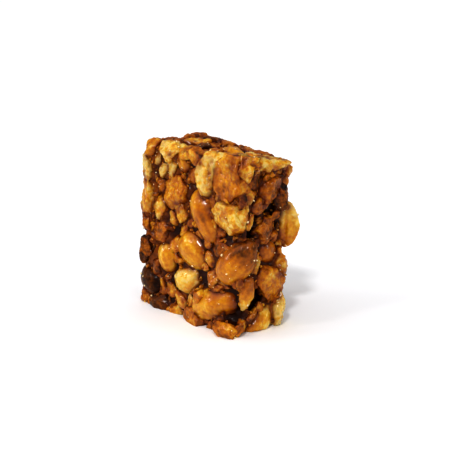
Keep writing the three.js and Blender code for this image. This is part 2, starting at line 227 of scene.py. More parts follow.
def spotOn(face, across, up):
    a, b, c, d = face["corners"]
    lower = a + (b - a) * across / face["width"]
    upper = d + (c - d) * across / face["width"]
    return lower + (upper - lower) * up / face["height"]


# Square to the face, and turned outwards near the block's edges
def outwardAt(face, across, up):
    distances = {"left": across, "right": face["width"] - across,
                 "upper": face["height"] - up, "lower": up}
    turned = face["out"].copy()
    for side, name in face["meets"].items():
        turned += faces[name]["out"] * max(0, 1 - distances[side] / block["edgeTurn"])
    return unit(turned)


# Moves a middle inwards until it lies this deep below a face
def sunk(centre, face, depth):
    short = depth - np.dot(face["corners"][0] - centre, face["out"])
    return centre - face["out"] * max(0, short)


# Draws from 0 to 1 that come out the same in every run
drawRule = {"factor": 1664525, "step": 1013904223, "range": 2**32}


def drawsFrom(seed):
    state = seed % drawRule["range"]
    while True:
        state = (state * drawRule["factor"] + drawRule["step"]) % drawRule["range"]
        yield state / drawRule["range"]


def between(draw, limits):
    low, high = limits
    return low + (high - low) * next(draw)


# Crowds an even draw towards both ends, so that nuts gather at the edges of a face
def towardsEnds(share):
    return (1 - math.cos(math.pi * share)) / 2


# Where a nut lies: its length runs in the face at its turn, and it is sunk level with the faces
def placed(nut):
    face = faces[nut["face"]]
    spot = spotOn(face, nut["across"], nut["up"])
    turned = outwardAt(face, nut["across"], nut["up"])
    side = unit(face["across"] - turned * np.dot(face["across"], turned))
    rise = np.cross(turned, side)
    angle = math.radians(nut["turn"])
    level = side * math.cos(angle) + rise * math.sin(angle)
    lift = math.radians(nut["tip"])
    along = level * math.cos(lift) + turned * math.sin(lift)
    out = turned * math.cos(lift) - level * math.sin(lift)
    centre = sunk(spot, face, nut["width"] * outReach[nut["kind"]])
    for other in face["meets"].values():
        centre = sunk(centre, faces[other], nut["width"] * nutShape["sideReach"])
    centre = centre + turned * nut["proud"]
    return dict(nut, spot=spot, along=along, beside=np.cross(out, along), out=out, centre=centre)


def thrownNut(draw, name, rule):
    face = faces[name]
    across = towardsEnds(next(draw)) * face["width"]
    up = towardsEnds(next(draw)) * face["height"] * rule["rise"]
    length = between(draw, rule["length"])
    width = length * between(draw, rule["slim"])
    stray = between(draw, (-1, 1))
    tip = between(draw, (-tipOut, tipOut))
    proud = between(draw, rule["proud"])
    turn = rightAngle * stray
    besideEdge = min(across, face["width"] - across) < block["edgeTurn"]
    underEdge = face["height"] - up < block["edgeTurn"]
    if besideEdge or underEdge:
        turn = (rightAngle if besideEdge else 0) + edgeStray * stray
        tip = 0
    return placed({"kind": rule["kind"], "face": name, "across": across, "up": up, "length": length,
                   "width": width, "turn": turn, "tip": tip, "proud": proud})


def meanRadius(nut):
    return math.sqrt(nut["length"] * nut["width"]) / 2


# A nut is measured against another as an ellipsoid grown by its own radius
def isApart(nut, other, gap):
    radius = meanRadius(nut)
    offset = nut["spot"] - other["spot"]
    along = np.dot(offset, other["along"]) / (other["length"] / 2 + radius)
    beside = np.dot(offset, other["beside"]) / (other["width"] / 2 + radius)
    out = np.dot(offset, other["out"]) / (other["width"] / 2 + radius)
    return math.hypot(along, beside, out) > gap


# A nut may hang over the rim of a hollow by half its radius
def isInHollow(nut):
    spots = [(spotOn(faces[name], across, up), size) for name, across, up, size in hollows]
    return any(np.linalg.norm(nut["spot"] - spot) < size + meanRadius(nut) / 2 for spot, size in spots)


def allNuts():
    keys = ("kind", "face", "across", "up", "length", "width", "turn", "proud", "tone", "cast")
    nuts = [placed(dict(zip(keys, row), tip=0)) for row in listedNuts]
    draw = drawsFrom(block["seed"])
    toneDraw = drawsFrom(block["seed"] + 1)
    for rule in strewnNuts:
        for name in rule["faces"]:
            area = faces[name]["width"] * faces[name]["height"]
            for _ in range(round(rule["throws"] * area / throwArea)):
                nut = thrownNut(draw, name, rule)
                if all(isApart(nut, other, rule["gap"]) for other in nuts) and not isInHollow(nut):
                    nut["tone"] = between(toneDraw, rule["tone"])
                    nuts.append(nut)
    for index, nut in enumerate(nuts):
        cast = nut.get("cast", 0) * block["castStep"]
        nut["shapeSeed"] = (index + block["seed"] + cast) * block["seedSpread"]
    return nuts


nuts = allNuts()
print("laid out", len(nuts), "nuts")


def trianglesOf(bm):
    return np.array([[vert.index for vert in face.verts] for face in bm.faces])


# A ball of triangles: its points and its faces
def ballOf(detail):
    bm = bmesh.new()
    bmesh.ops.create_icosphere(bm, subdivisions=detail, radius=1)
    points = np.array([vert.co for vert in bm.verts])
    triangles = trianglesOf(bm)
    bm.free()
    return points, triangles


balls = {detail: ballOf(detail) for detail in range(1, 6)}


# Each shape moves the points of a unit ball, x along the nut and z out of the block,
# and says how bare each point is: 0 under its roasted coat, 1 on pale broken flesh
def veinsAlong(nut, ball):
    x, y, z = ball.T
    wander = nut["shapeSeed"] + np.sin(nutShape["veinSway"] * x + nut["shapeSeed"])
    waves = [np.cos(np.arctan2(z, y) * count + wander) for count in nutShape["veins"]]
    shown = 1 - np.mean(nut["tone"]) ** 2  # less under a burnt coat
    return (1 + np.mean(waves, axis=0)) / 2 * (1 - x * x) * shown


# Width along a nut, narrower towards its tip and raised on its veins
def widthAlong(nut, x, veins):
    return (1 - nutShape["taper"] * x + nutShape["veinRise"] * veins) * nut["width"]


def kernelPoints(nut, ball):
    x, y, z = ball.T
    veins = veinsAlong(nut, ball)
    slim = widthAlong(nut, x, veins) / 2
    points = np.stack((x * nut["length"] / 2, y * slim, z * slim * nutShape["kernelThickness"]), 1)
    return points, veins


def halfPoints(nut, ball):
    x, y, z = ball.T
    veins = veinsAlong(nut, ball)
    slim = widthAlong(nut, x, veins)
    seam = np.exp(-(y / nutShape["seamWidth"]) ** 2) * (1 - x * x)
    splitFace = nutShape["splitBulge"] - nutShape["seamDepth"] * seam
    height = z * np.where(z > 0, nutShape["halfThickness"], splitFace)
    points = np.stack((x * nut["length"] / 2, y * slim / 2, height * slim), 1)
    flesh = np.clip(-z * nutShape["rimSharpness"], 0, 1) * (1 - seam)
    return points, np.where(z > 0, veins * nutShape["veinBareness"], flesh)


# A half with its split face outwards
def openPoints(nut, ball):
    points, bare = halfPoints(nut, ball)
    return points * (1, -1, -1), bare


# A half that stands on its edge
def edgePoints(nut, ball):
    points, bare = halfPoints(nut, ball)
    x, y, z = points.T
    return np.stack((x, -z, y), 1), bare


# How far out the points of a ball may lie before they pass a break that faces some way
def breakReach(ball, draw, tilts, distances):
    z = between(draw, tilts)
    angle = between(draw, (0, 2 * math.pi))
    flat = math.sqrt(1 - z * z)
    normal = np.array((flat * math.cos(angle), flat * math.sin(angle), z))
    return between(draw, distances) / np.maximum(ball @ normal, nutShape["grazing"])


def brokenPoints(nut, ball):
    thickness = nutShape["chipThickness" if nut["kind"] == "chip" else "chunkThickness"]
    reach = np.ones(len(ball))
    bare = np.zeros(len(ball))
    draw = drawsFrom(nut["shapeSeed"])
    bareDraw = drawsFrom(nut["shapeSeed"] * nutShape["bareSeed"])
    slices = [(nutShape["pressedTilt"], nutShape["pressedDistance"])]
    slices += [(nutShape["breakTilt"], nutShape["breakDistance"])] * nutShape["breaks"]
    slices += [((-1, 1), nutShape["chipDistance"])] * nutShape["chips"]
    for tilts, distances in slices:
        limit = breakReach(ball, draw, tilts, distances)
        bare[limit < reach] = next(bareDraw) < nutShape["bareness"] - np.mean(nut["tone"])
        reach = np.minimum(reach, limit)
    points = ball * reach[:, None] * nutShape["breakGrow"] / 2
    return points * (nut["length"], nut["width"], nut["width"] * thickness), bare


pointsOf = {
    "kernel": kernelPoints, "half": halfPoints, "open": openPoints, "edge": edgePoints,
    "chunk": brokenPoints, "bit": brokenPoints, "chip": brokenPoints,
}


# Cuts points off flat where the block stands
def aboveBase(points):
    return np.maximum(points, (-np.inf, -np.inf, 0))


# Turns a nut's points into place, cut flat at the base, and at the top on either side of
# the fold towards its worn corner
def inPlace(nut, points):
    moved = points @ np.stack((nut["along"], nut["beside"], nut["out"])) + nut["centre"]
    a, b, c, d = faces["top"]["corners"]
    for corner, ahead, beside in ((a, b, d), (b, c, d)):
        up = unit(np.cross(ahead - corner, beside - corner))
        over = (moved - corner) @ up - block["topCut"]
        moved -= np.outer(np.maximum(over, 0), up)
    return aboveBase(moved)


# One mesh of many shapes, each given as its points and its triangles
def joinedMesh(name, shapes):
    starts = np.cumsum([0] + [len(points) for points, _ in shapes])
    points = np.concatenate([points for points, _ in shapes])
    triangles = np.concatenate([triangles + start for (_, triangles), start in zip(shapes, starts)])
    mesh = bpy.data.meshes.new(name)
    mesh.from_pydata(points * mm, [], triangles)
    mesh.shade_smooth()
    return mesh


def setAttribute(mesh, name, values):
    attribute = mesh.attributes.new(name, "FLOAT", "POINT")
    attribute.data.foreach_set("value", np.asarray(values, np.float32))


def pointsAndNormals(mesh):
    points = np.empty(len(mesh.vertices) * 3, np.float32)
    normals = np.empty(len(mesh.vertices) * 3, np.float32)
    mesh.vertices.foreach_get("co", points)
    mesh.vertex_normals.foreach_get("vector", normals)
    return points.reshape(-1, 3) / mm, normals.reshape(-1, 3)


def setPoints(mesh, points):
    mesh.vertices.foreach_set("co", (points * mm).astype(np.float32).ravel())
    mesh.update()


lumpEdge = 0.45  # a lump of crust stands out to this share of its size from its middle


# Moves a mesh's points along their normals: noise in pairs of grain size and depth in millimetres,
# and a crust of close-set lumps
def roughened(mesh, grains, crust):
    points, normals = pointsAndNormals(mesh)
    depth = np.zeros(len(points))
    for size, amount in grains:
        depth += amount * np.array([noise.noise(Vector(point / size)) for point in points])
    for size, amount in crust:
        fromMiddle = np.array([noise.voronoi(Vector(point / size))[0][0] for point in points])
        depth += amount * (lumpEdge - fromMiddle)
    setPoints(mesh, aboveBase(points + normals * depth[:, None]))
    setAttribute(mesh, "relief", depth / sum(amount for _, amount in grains + crust))


def smoothed(mesh, rounds):
    bm = bmesh.new()
    bm.from_mesh(mesh)
    for _ in range(rounds):
        bmesh.ops.smooth_vert(bm, verts=bm.verts, factor=0.5,
                              use_axis_x=True, use_axis_y=True, use_axis_z=True)
    bm.to_mesh(mesh)
    bm.free()


# One mesh of all the nuts of these kinds
def nutsMesh(name, look):
    shapes, tones, bares = [], [], []
    for nut in nuts:
        if nut["kind"] in look["kinds"]:
            isFine = nut["length"] > look["fineFrom"]
            ball, triangles = balls[look["detail"] if isFine else look["detail"] - 1]
            points, bare = pointsOf[nut["kind"]](nut, ball)
            shapes.append((inPlace(nut, points), triangles))
            tones.append(np.interp(ball[:, 0], (-1, 1), np.full(2, nut["tone"])))
            bares.append(bare)
    mesh = joinedMesh(name, shapes)
    setAttribute(mesh, "tone", np.concatenate(tones))
    setAttribute(mesh, "bare", np.concatenate(bares))
    smoothed(mesh, look["rounds"])
    roughened(mesh, look["grains"], look["crust"])
    return mesh


# Detail of each nut's ball, one step less up to the length fineFrom, rounds of smoothing,
# and grains and crust as pairs of size and depth, mm
wholeKernels = {"kinds": ("kernel",), "detail": 5, "fineFrom": 0, "rounds": 0,
                "grains": ((5.0, 0.3), (1.6, 0.08)), "crust": ((1.1, 0.06),)}
splitHalves = {"kinds": ("half", "open", "edge"), "detail": 5, "fineFrom": 0, "rounds": 1,
               "grains": ((4.0, 0.3), (1.4, 0.14)), "crust": ((1.8, 0.4), (0.9, 0.2))}
brokenChunks = {"kinds": ("chunk",), "detail": 5, "fineFrom": 7.5, "rounds": 1,
                "grains": ((2.8, 0.3), (0.8, 0.1)), "crust": ((1.7, 0.5), (0.8, 0.3))}
brokenBits = {"kinds": ("bit",), "detail": 4, "fineFrom": 0, "rounds": 1,
              "grains": ((2.2, 0.25),), "crust": ((1.4, 0.4),)}
thinChips = {"kinds": ("chip",), "detail": 4, "fineFrom": 0, "rounds": 1,
             "grains": ((1.8, 0.2),), "crust": ((1.1, 0.24),)}
nutLooks = {"whole_kernels": wholeKernels, "split_halves": splitHalves,
            "broken_chunks": brokenChunks, "broken_bits": brokenBits, "thin_chips": thinChips}
nutMeshes = {name: nutsMesh(name, look) for name, look in nutLooks.items()}
for name, mesh in nutMeshes.items():
    print("shaped", name, len(mesh.polygons), "faces")

# Caramel that holds the nuts: a core and every nut, run together, swollen until the crevices
# close and drawn back in, so that it fillets the crevices and lies just under the nuts
caramelCore = {
    "inset": 1.9,  # the core lies this far inside the block's faces
    "cuts": 24,  # across each of its sides
    "ball": 3,  # detail of the nuts in it
    "voxel": 0.42,
    "swell": 1.2,
    "below": 0.5,  # drawn back this far under the nuts
    "hollowDepth": 3.6,  # a hollow is dished this deep
    "hollowSpread": 2,  # out to this many times its radius
    "hollowBelow": 3.8,  # and only in the side of the core within this depth
    "rounds": 2,
    "grains": ((2.6, 0.3), (0.9, 0.14)),
    "crust": ((1.5, 0.3),),
    "darkestAt": 4.5,  # darkest this deep below the block's faces, as thick caramel and painted shade
}


def hollowedOut(points):
    for name, across, up, size in hollows:
        out = faces[name]["out"]
        offset = points - spotOn(faces[name], across, up)
        sideways = np.linalg.norm(offset - np.outer(offset @ out, out), axis=1)
        apart = sideways / (caramelCore["hollowSpread"] * size)
        depth = np.clip(1 - apart ** 2, 0, 1) * caramelCore["hollowDepth"]
        depth[offset @ out < -caramelCore["hollowBelow"]] = 0
        points = points - np.outer(depth, out)
    return points


# Fits a cube from -1 to 1 into the block
def corePoints(cube):
    points = []
    for x, y, z in cube:
        share = ((x + 1) / 2, (y + 1) / 2, (z + 1) / 2)
        front = spotOn(faces["front"], share[0] * wide, share[2] * tall)
        back = spotOn(faces["back"], (1 - share[0]) * wide, share[2] * tall)
        inset = np.array((x, y, share[2])) * caramelCore["inset"]
        points.append(front + (back - front) * share[1] - inset)
    return hollowedOut(np.array(points))


def coreMesh():
    bm = bmesh.new()
    bmesh.ops.create_cube(bm, size=2)
    bmesh.ops.subdivide_edges(bm, edges=bm.edges, cuts=caramelCore["cuts"], use_grid_fill=True)
    bmesh.ops.triangulate(bm, faces=bm.faces)
    shapes = [(corePoints([vert.co for vert in bm.verts]), trianglesOf(bm))]
    bm.free()
    ball, triangles = balls[caramelCore["ball"]]
    for nut in nuts:
        points, _ = pointsOf[nut["kind"]](nut, ball)
        shapes.append((inPlace(nut, points), triangles))
    return joinedMesh("lump", shapes)


def runTogether(mesh):
    lump = bpy.data.objects.new("lump", mesh)
    bpy.context.scene.collection.objects.link(lump)
    remesh = lump.modifiers.new("remesh", "REMESH")
    remesh.mode = "VOXEL"
    remesh.voxel_size = caramelCore["voxel"] * mm
    graph = bpy.context.evaluated_depsgraph_get()
    joined = bpy.data.meshes.new_from_object(lump.evaluated_get(graph))
    bpy.data.objects.remove(lump)
    bpy.data.meshes.remove(mesh)
    return joined


# How deep points lie below the nearest face of the block, in millimetres
def depthBelow(points):
    depths = [(face["corners"][0] - points) @ face["out"] for face in faces.values()]
    return np.min(depths, axis=0)


def caramelMesh():
    mesh = runTogether(coreMesh())
    for shift in (caramelCore["swell"], -caramelCore["swell"] - caramelCore["below"]):
        points, normals = pointsAndNormals(mesh)
        setPoints(mesh, points + normals * shift)
        mesh = runTogether(mesh)
    mesh.name = "caramel"
    smoothed(mesh, caramelCore["rounds"])
    roughened(mesh, caramelCore["grains"], caramelCore["crust"])
    mesh.shade_smooth()
    points, _ = pointsAndNormals(mesh)
    # deeper caramel is darker: partly thicker caramel, partly painted shade in the recesses
    setAttribute(mesh, "deep", np.clip(depthBelow(points) / caramelCore["darkestAt"], 0, 1))
    return mesh


caramelSkin = caramelMesh()
caramelPoints, caramelNormals = pointsAndNormals(caramelSkin)
print("poured caramel", len(caramelSkin.polygons), "faces")


# Which points of the caramel show between the nuts
def shownCaramel():
    shown = np.ones(len(caramelPoints), bool)
    for mesh in nutMeshes.values():
        points, _ = pointsAndNormals(mesh)
        triangles = [tuple(polygon.vertices) for polygon in mesh.polygons]
        tree = BVHTree.FromPolygons([Vector(point) for point in points], triangles)
        for index in np.flatnonzero(shown):
            point = Vector(caramelPoints[index])
            nearest, normal, _, _ = tree.find_nearest(point)
            shown[index] = (point - nearest).dot(normal) > 0
    return shown


def treeOf(points):
    tree = KDTree(len(points))
    for index, point in enumerate(points):
        tree.insert(point, index)
    tree.balance()
    return tree


# Caramel stains the nuts that it holds, and darkens them as painted shade where they meet it in the
# crevices and where they sink below the block's faces
caramelStainAndShade = {
    "reach": 0.6,  # it creeps this far up a nut, with painted shade in the crevices, mm
    "coveredAndShadedFrom": 1.0,  # and covers it, with painted shade, more and more from this depth, mm
    "coveredAndShadedAt": 4.0,  # down to this one
}


def stainAndShadeOn(points, caramelTree):
    distances = np.array([caramelTree.find(point)[2] for point in points])
    coveredAndShadedDepth = caramelStainAndShade["coveredAndShadedAt"] - caramelStainAndShade["coveredAndShadedFrom"]
    # painted shade deepens as a nut sinks below the block's faces, where caramel also covers it
    covered = np.clip((depthBelow(points) - caramelStainAndShade["coveredAndShadedFrom"]) / coveredAndShadedDepth, 0, 1)
    return np.maximum(np.exp(-distances / caramelStainAndShade["reach"]), covered)


caramelShown = shownCaramel()
caramelTree = treeOf(caramelPoints[caramelShown])
for mesh in nutMeshes.values():
    points, _ = pointsAndNormals(mesh)
    setAttribute(mesh, "stainAndShade", stainAndShadeOn(points, caramelTree))
print("stained the nuts beside", np.count_nonzero(caramelShown), "points of caramel")

# Crumbs of nut caught in the caramel and stuck to the nuts beside it
looseCrumbs = {
    "onCaramel": 420,
    "onNuts": 160,
    "stainedFrom": 0.08,
    "deepest": 2.6,
    "size": (0.9, 2.6),
    "slim": (0.5, 0.9),
    "tone": (0.25, 0.65),
    "rise": -0.05,
    "ball": 2,
    "seed": 71,
}
# Pale beads on the crests of the nuts that stand for glints: painted highlights
glintBeads = {
    "onNuts": 260,
    "stainedFrom": 0,
    "deepest": 0.8,
    "size": (0.3, 0.9),
    "slim": (0.7, 1),
    "tone": (0, 0),
    "rise": 0.2,
    "ball": 1,
    "seed": 72,
}


# Picks points at random from those that are allowed, with their normals
def picked(draw, points, normals, allowed, count):
    candidates = np.flatnonzero(allowed)
    chosen = [candidates[int(next(draw) * len(candidates))] for _ in range(count)]
    return points[chosen], normals[chosen]


def spotsOnNuts(draw, look):
    spots = []
    for mesh in nutMeshes.values():
        points, normals = pointsAndNormals(mesh)
        stainAndShade = np.empty(len(points), np.float32)
        mesh.attributes["stainAndShade"].data.foreach_get("value", stainAndShade)
        allowed = (stainAndShade > look["stainedFrom"]) & (depthBelow(points) < look["deepest"])
        spots.append(picked(draw, points, normals, allowed, look["onNuts"] // len(nutMeshes)))
    return spots


# One mesh of small broken pieces at these spots, turned at random
def scatteredMesh(name, look, spots, draw):
    points, normals = [np.concatenate(group) for group in zip(*spots)]
    ball, triangles = balls[look["ball"]]
    low, high = look["size"]
    shapes, tones = [], []
    for index, (point, normal) in enumerate(zip(points, normals)):
        length = low + (high - low) * next(draw) ** 2  # most are small
        crumb = {"kind": "chip", "length": length, "width": length * between(draw, look["slim"]),
                 "tone": between(draw, look["tone"]),
                 "shapeSeed": (index + look["seed"]) * block["seedSpread"]}
        shape, _ = brokenPoints(crumb, ball)
        turn = Euler([between(draw, (-math.pi, math.pi)) for _ in range(3)]).to_matrix()
        moved = shape @ np.array(turn) + point + normal * length * look["rise"]
        shapes.append((aboveBase(moved), triangles))
        tones.append(np.full(len(ball), crumb["tone"]))
    mesh = joinedMesh(name, shapes)
    setAttribute(mesh, "tone", np.concatenate(tones))
    return mesh


def crumbsMesh():
    draw = drawsFrom(looseCrumbs["seed"])
    allowed = caramelShown & (depthBelow(caramelPoints) < looseCrumbs["deepest"])
    spots = [picked(draw, caramelPoints, caramelNormals, allowed, looseCrumbs["onCaramel"])]
    spots += spotsOnNuts(draw, looseCrumbs)
    return scatteredMesh("nut_crumbs", looseCrumbs, spots, draw)


def glintBeadsMesh():
    draw = drawsFrom(glintBeads["seed"])
    return scatteredMesh("glint_beads", glintBeads, spotsOnNuts(draw, glintBeads), draw)


crumbSkin = crumbsMesh()
glintBeadSkin = glintBeadsMesh()
print("scattered", len(crumbSkin.polygons), "faces of crumbs and", len(glintBeadSkin.polygons), "of glint beads")


# Colours are sRGB hex values
def linear(colour):
    channels = [int(colour[i:i + 2], 16) / 255 for i in (0, 2, 4)]
    return *[c / 12.92 if c <= 0.04045 else ((c + 0.055) / 1.055) ** 2.4 for c in channels], 1.0


def newMaterial(name):
    material = bpy.data.materials.new(name)
    material.use_nodes = True
    material.node_tree.nodes.clear()
    return material


# Adds a node with its settings, its inputs set or linked
def addNode(material, kind, inputs, **settings):
    node = material.node_tree.nodes.new("ShaderNode" + kind)
    for key, value in settings.items():
        setattr(node, key, value)
    for key, value in inputs.items():
        if isinstance(value, bpy.types.NodeSocket):
            material.node_tree.links.new(value, node.inputs[key])
        else:
            node.inputs[key].default_value = value
    return node


def setRamp(node, stops):
    elements = node.color_ramp.elements
    while len(elements) < len(stops):
        elements.new(1)
    for element, (place, colour) in zip(elements, stops):
        element.position = place
        element.color = linear(colour)


noiseLow, noiseHigh = 0.3, 0.7  # nearly all of a noise pattern lies between these

# Roasted peanut in a caramel film: cream flesh through golden and amber to burnt brown, mottled as
# the film runs thick and thin, darker where it meets the caramel as stain and painted shade, wet gloss
# on a rippled glaze
roastedSkin = {
    "tones": ((0.0, "e0c676"), (0.07, "dfbc50"), (0.14, "d8a628"), (0.24, "cd9014"), (0.38, "bb740b"),
              (0.52, "9a5a0c"), (0.68, "66380a"), (0.84, "321706"), (1.0, "140803")),
    "mottle": 6.0,  # patches of roast, mm
    "mottleDetail": 3.0,
    "mottleRoughness": 0.6,
    "mottleDepth": 0.34,  # depths are in tone
    "grain": 0.8,  # grain of the crust, mm
    "grainDetail": 5.0,
    "grainDepth": 0.16,
    "grainHeight": 0.05,  # mm
    "pitDepth": 0.2,  # pits are darker by this much tone, and bumps paler: painted shade and light, with caramel in the pits
    "bareShift": 0.16,  # bare flesh is paler by this much tone
    "film": 3.2,  # runs of caramel over the nuts, mm
    "filmDetail": 4.0,
    "filmWander": 0.6,
    "filmEdge": (0.52, 0.68),  # a run thickens between these levels of its noise
    "filmColour": "b06408",
    "filmWeight": 0.8,
    "filmFrom": 0.36,  # flesh paler than this has less of it
    "stainTint": "d0a058",  # caramel tints a nut amber where it starts to cover it and where painted shade starts
    "tintGain": 2.0,
    "stainAndShadeColour": "2c0e03",  # and is dark where it lies thick and in the painted shade of crevices
    "stainAndShadePower": 1.5,
    "glossEdge": (0.35, 0.65),  # it dulls between these levels of the mottle
    "roughness": (0.22, 0.46),
    "ior": 1.46,
    "specular": 0.1,  # the gloss is the glaze's
    "coat": 0.7,
    "coatIor": 1.6,
    "coatRoughness": 0.18,
    "ripple": 1.2,  # ripples of the glaze, mm
    "rippleDetail": 1.0,
    "rippleHeight": 0.04,  # mm
    "subsurface": 0.35,
    "subsurfaceDepth": 0.8,  # mm
    "subsurfaceTint": (1.0, 0.45, 0.15),  # red light goes deepest
}
# Broken peanut: the same flesh torn open, grainier and less glossy
brokenFlesh = dict(roastedSkin, mottle=3.0, mottleDetail=5.0, mottleDepth=0.4, grain=1.1, grainDepth=0.3,
                   grainHeight=0.4, film=2.2, filmWeight=0.95, roughness=(0.3, 0.6))


# Colour of the flesh from its tone: mottled and grained, paler where it is bare, with painted light on
# its bumps and painted shade in its pits
def fleshColour(material, look, held, mottle, grain):
    mottleShift = addNode(material, "MapRange", {
        "Value": mottle, "From Min": noiseLow, "From Max": noiseHigh,
        "To Min": -look["mottleDepth"] / 2, "To Max": look["mottleDepth"] / 2})
    mottled = addNode(material, "Math", {0: held["tone"], 1: mottleShift.outputs["Result"]},
                      operation="ADD")
    bared = addNode(material, "Math", {0: held["bare"], 1: -look["bareShift"], 2: mottled.outputs[0]},
                    operation="MULTIPLY_ADD")
    pitted = addNode(material, "Math", {0: held["relief"], 1: -look["pitDepth"], 2: bared.outputs[0]},
                     operation="MULTIPLY_ADD")
    grainShift = addNode(material, "MapRange", {
        "Value": grain, "From Min": noiseLow, "From Max": noiseHigh,
        "To Min": look["grainDepth"] / 2, "To Max": -look["grainDepth"] / 2})
    grained = addNode(material, "Math", {0: pitted.outputs[0], 1: grainShift.outputs["Result"]},
                      operation="ADD", use_clamp=True)
    flesh = addNode(material, "ValToRGB", {"Fac": grained.outputs[0]})
    setRamp(flesh, look["tones"])
    return flesh.outputs["Color"]


# Runs of caramel over the flesh, fewer on the palest and the darkest nuts
def filmedColour(material, look, coords, tone, pale, flesh):
    runs = addNode(material, "TexNoise", {
        "Vector": coords, "Scale": 1 / (look["film"] * mm), "Detail": look["filmDetail"],
        "Distortion": look["filmWander"]})
    runShare = addNode(material, "MapRange", {
        "Value": runs.outputs["Fac"], "From Min": look["filmEdge"][0], "From Max": look["filmEdge"][1],
        "To Max": look["filmWeight"]})
    golden = addNode(material, "Math", {0: tone, 1: look["filmFrom"]},
                     operation="DIVIDE", use_clamp=True)
    takesFilm = addNode(material, "Math", {0: pale, 1: golden.outputs[0]}, operation="MULTIPLY")
    filmShare = addNode(material, "Math", {0: runShare.outputs["Result"], 1: takesFilm.outputs[0]},
                        operation="MULTIPLY")
    filmed = addNode(material, "MixRGB", {"Fac": filmShare.outputs[0], "Color1": flesh,
                                          "Color2": linear(look["filmColour"])})
    return filmed.outputs["Color"]


# Caramel creeping up from the crevices, and painted shade in them: an amber tint where it is thin, then
# dark
def stainedAndShadedColour(material, look, stainAndShade, filmed):
    thin = addNode(material, "Math", {0: stainAndShade, 1: look["tintGain"]},
                   operation="MULTIPLY", use_clamp=True)
    tinted = addNode(material, "MixRGB", {"Fac": thin.outputs[0], "Color1": filmed,
                                          "Color2": linear(look["stainTint"])}, blend_type="MULTIPLY")
    # dark where caramel lies thick and where shade is painted
    thick = addNode(material, "Math", {0: stainAndShade, 1: look["stainAndShadePower"]}, operation="POWER")
    stained = addNode(material, "MixRGB", {"Fac": thick.outputs[0], "Color1": tinted.outputs["Color"],
                                           "Color2": linear(look["stainAndShadeColour"])})
    return stained.outputs["Color"]


def peanutMaterial(name, look):
    material = newMaterial(name)
    coords = addNode(material, "TexCoord", {}).outputs["Object"]
    held = {key: addNode(material, "Attribute", {}, attribute_name=key).outputs["Fac"]
            for key in ("tone", "bare", "relief", "stainAndShade")}  # what the mesh holds at each point
    mottle = addNode(material, "TexNoise", {
        "Vector": coords, "Scale": 1 / (look["mottle"] * mm), "Detail": look["mottleDetail"],
        "Roughness": look["mottleRoughness"]}).outputs["Fac"]
    grain = addNode(material, "TexNoise", {
        "Vector": coords, "Scale": 1 / (look["grain"] * mm),
        "Detail": look["grainDetail"]}).outputs["Fac"]
    ripples = addNode(material, "TexNoise", {
        "Vector": coords, "Scale": 1 / (look["ripple"] * mm),
        "Detail": look["rippleDetail"]}).outputs["Fac"]
    pale = addNode(material, "Math", {0: 1.0, 1: held["tone"]}, operation="SUBTRACT").outputs[0]
    flesh = fleshColour(material, look, held, mottle, grain)
    filmed = filmedColour(material, look, coords, held["tone"], pale, flesh)
    rough = addNode(material, "MapRange", {
        "Value": mottle, "From Min": look["glossEdge"][0], "From Max": look["glossEdge"][1],
        "To Min": look["roughness"][0], "To Max": look["roughness"][1]})
    bump = addNode(material, "Bump", {"Height": grain, "Distance": look["grainHeight"] * mm})
    coat = addNode(material, "Math", {0: pale, 1: look["coat"]}, operation="MULTIPLY")
    glaze = addNode(material, "Bump", {"Height": ripples, "Distance": look["rippleHeight"] * mm})
    shader = addNode(material, "BsdfPrincipled", {
        "Base Color": stainedAndShadedColour(material, look, held["stainAndShade"], filmed),
        "Roughness": rough.outputs["Result"],
        "IOR": look["ior"],
        "Specular IOR Level": look["specular"],
        "Normal": bump.outputs["Normal"],
        "Subsurface Weight": look["subsurface"],
        "Subsurface Radius": look["subsurfaceTint"],
        "Subsurface Scale": look["subsurfaceDepth"] * mm,
        "Coat Weight": coat.outputs[0],
        "Coat Roughness": look["coatRoughness"],
        "Coat IOR": look["coatIor"],
        "Coat Normal": glaze.outputs["Normal"],
    })
    addNode(material, "OutputMaterial", {"Surface": shader.outputs["BSDF"]})
    return material


# Hard caramel, poured hot: amber near the block's faces and dark red-brown deeper in, partly thicker
# caramel and partly painted shade in the recesses, glossy and lumpy
darkCaramel = {
    "tones": ((0.0, "8c4c12"), (0.25, "582808"), (0.5, "341103"), (1.0, "260b02")),
    "mottle": 2.4,  # mm
    "mottleDetail": 4.0,
    "mottleDepth": 0.5,
    "bubble": 0.7,  # mm
    "bubbleDetail": 3.0,
    "bubbleHeight": 0.14,  # mm
    "bubbleStrength": 0.7,
    "glossEdge": (0.35, 0.65),
    "roughness": (0.22, 0.5),
    "ior": 1.49,
    "specular": 0.1,
    "coat": 0.2,
    "coatRoughness": 0.18,
}


